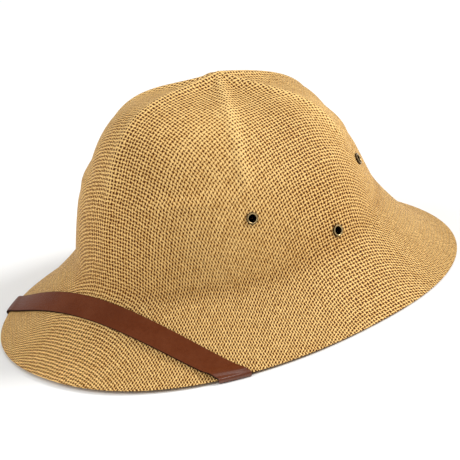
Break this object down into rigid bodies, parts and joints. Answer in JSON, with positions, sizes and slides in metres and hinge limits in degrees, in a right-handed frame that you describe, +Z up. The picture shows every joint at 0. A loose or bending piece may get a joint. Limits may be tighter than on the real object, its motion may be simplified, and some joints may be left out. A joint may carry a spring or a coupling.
{
  "type": "pith helmet",
  "caption": "Rounded pith helmet of woven straw with a sloping brim, raised crown ridges, metal eyelets and a brown leather strap across the front of the brim.",
  "frame": {"origin": "on the floor under the middle of the bounding box", "axes": "+Z up, the front of the brim faces -Y, the wearer's left is +X"},
  "size_m": [0.275, 0.316, 0.1472],
  "materials": {
    "woven_straw": "plain-woven twisted paper straw, matt",
    "brown_leather": "smooth reddish-brown leather, low sheen",
    "antique_brass": "darkened brass, worn bright on the rolled edge"
  },
  "bodies": {
    "root": {"shell": "woven_straw", "strap": "brown_leather", "eyelet_left_front": "antique_brass", "eyelet_left_middle": "antique_brass", "eyelet_left_back": "antique_brass", "eyelet_right_front": "antique_brass", "eyelet_right_middle": "antique_brass", "eyelet_right_back": "antique_brass"}
  },
  "joints": []
}
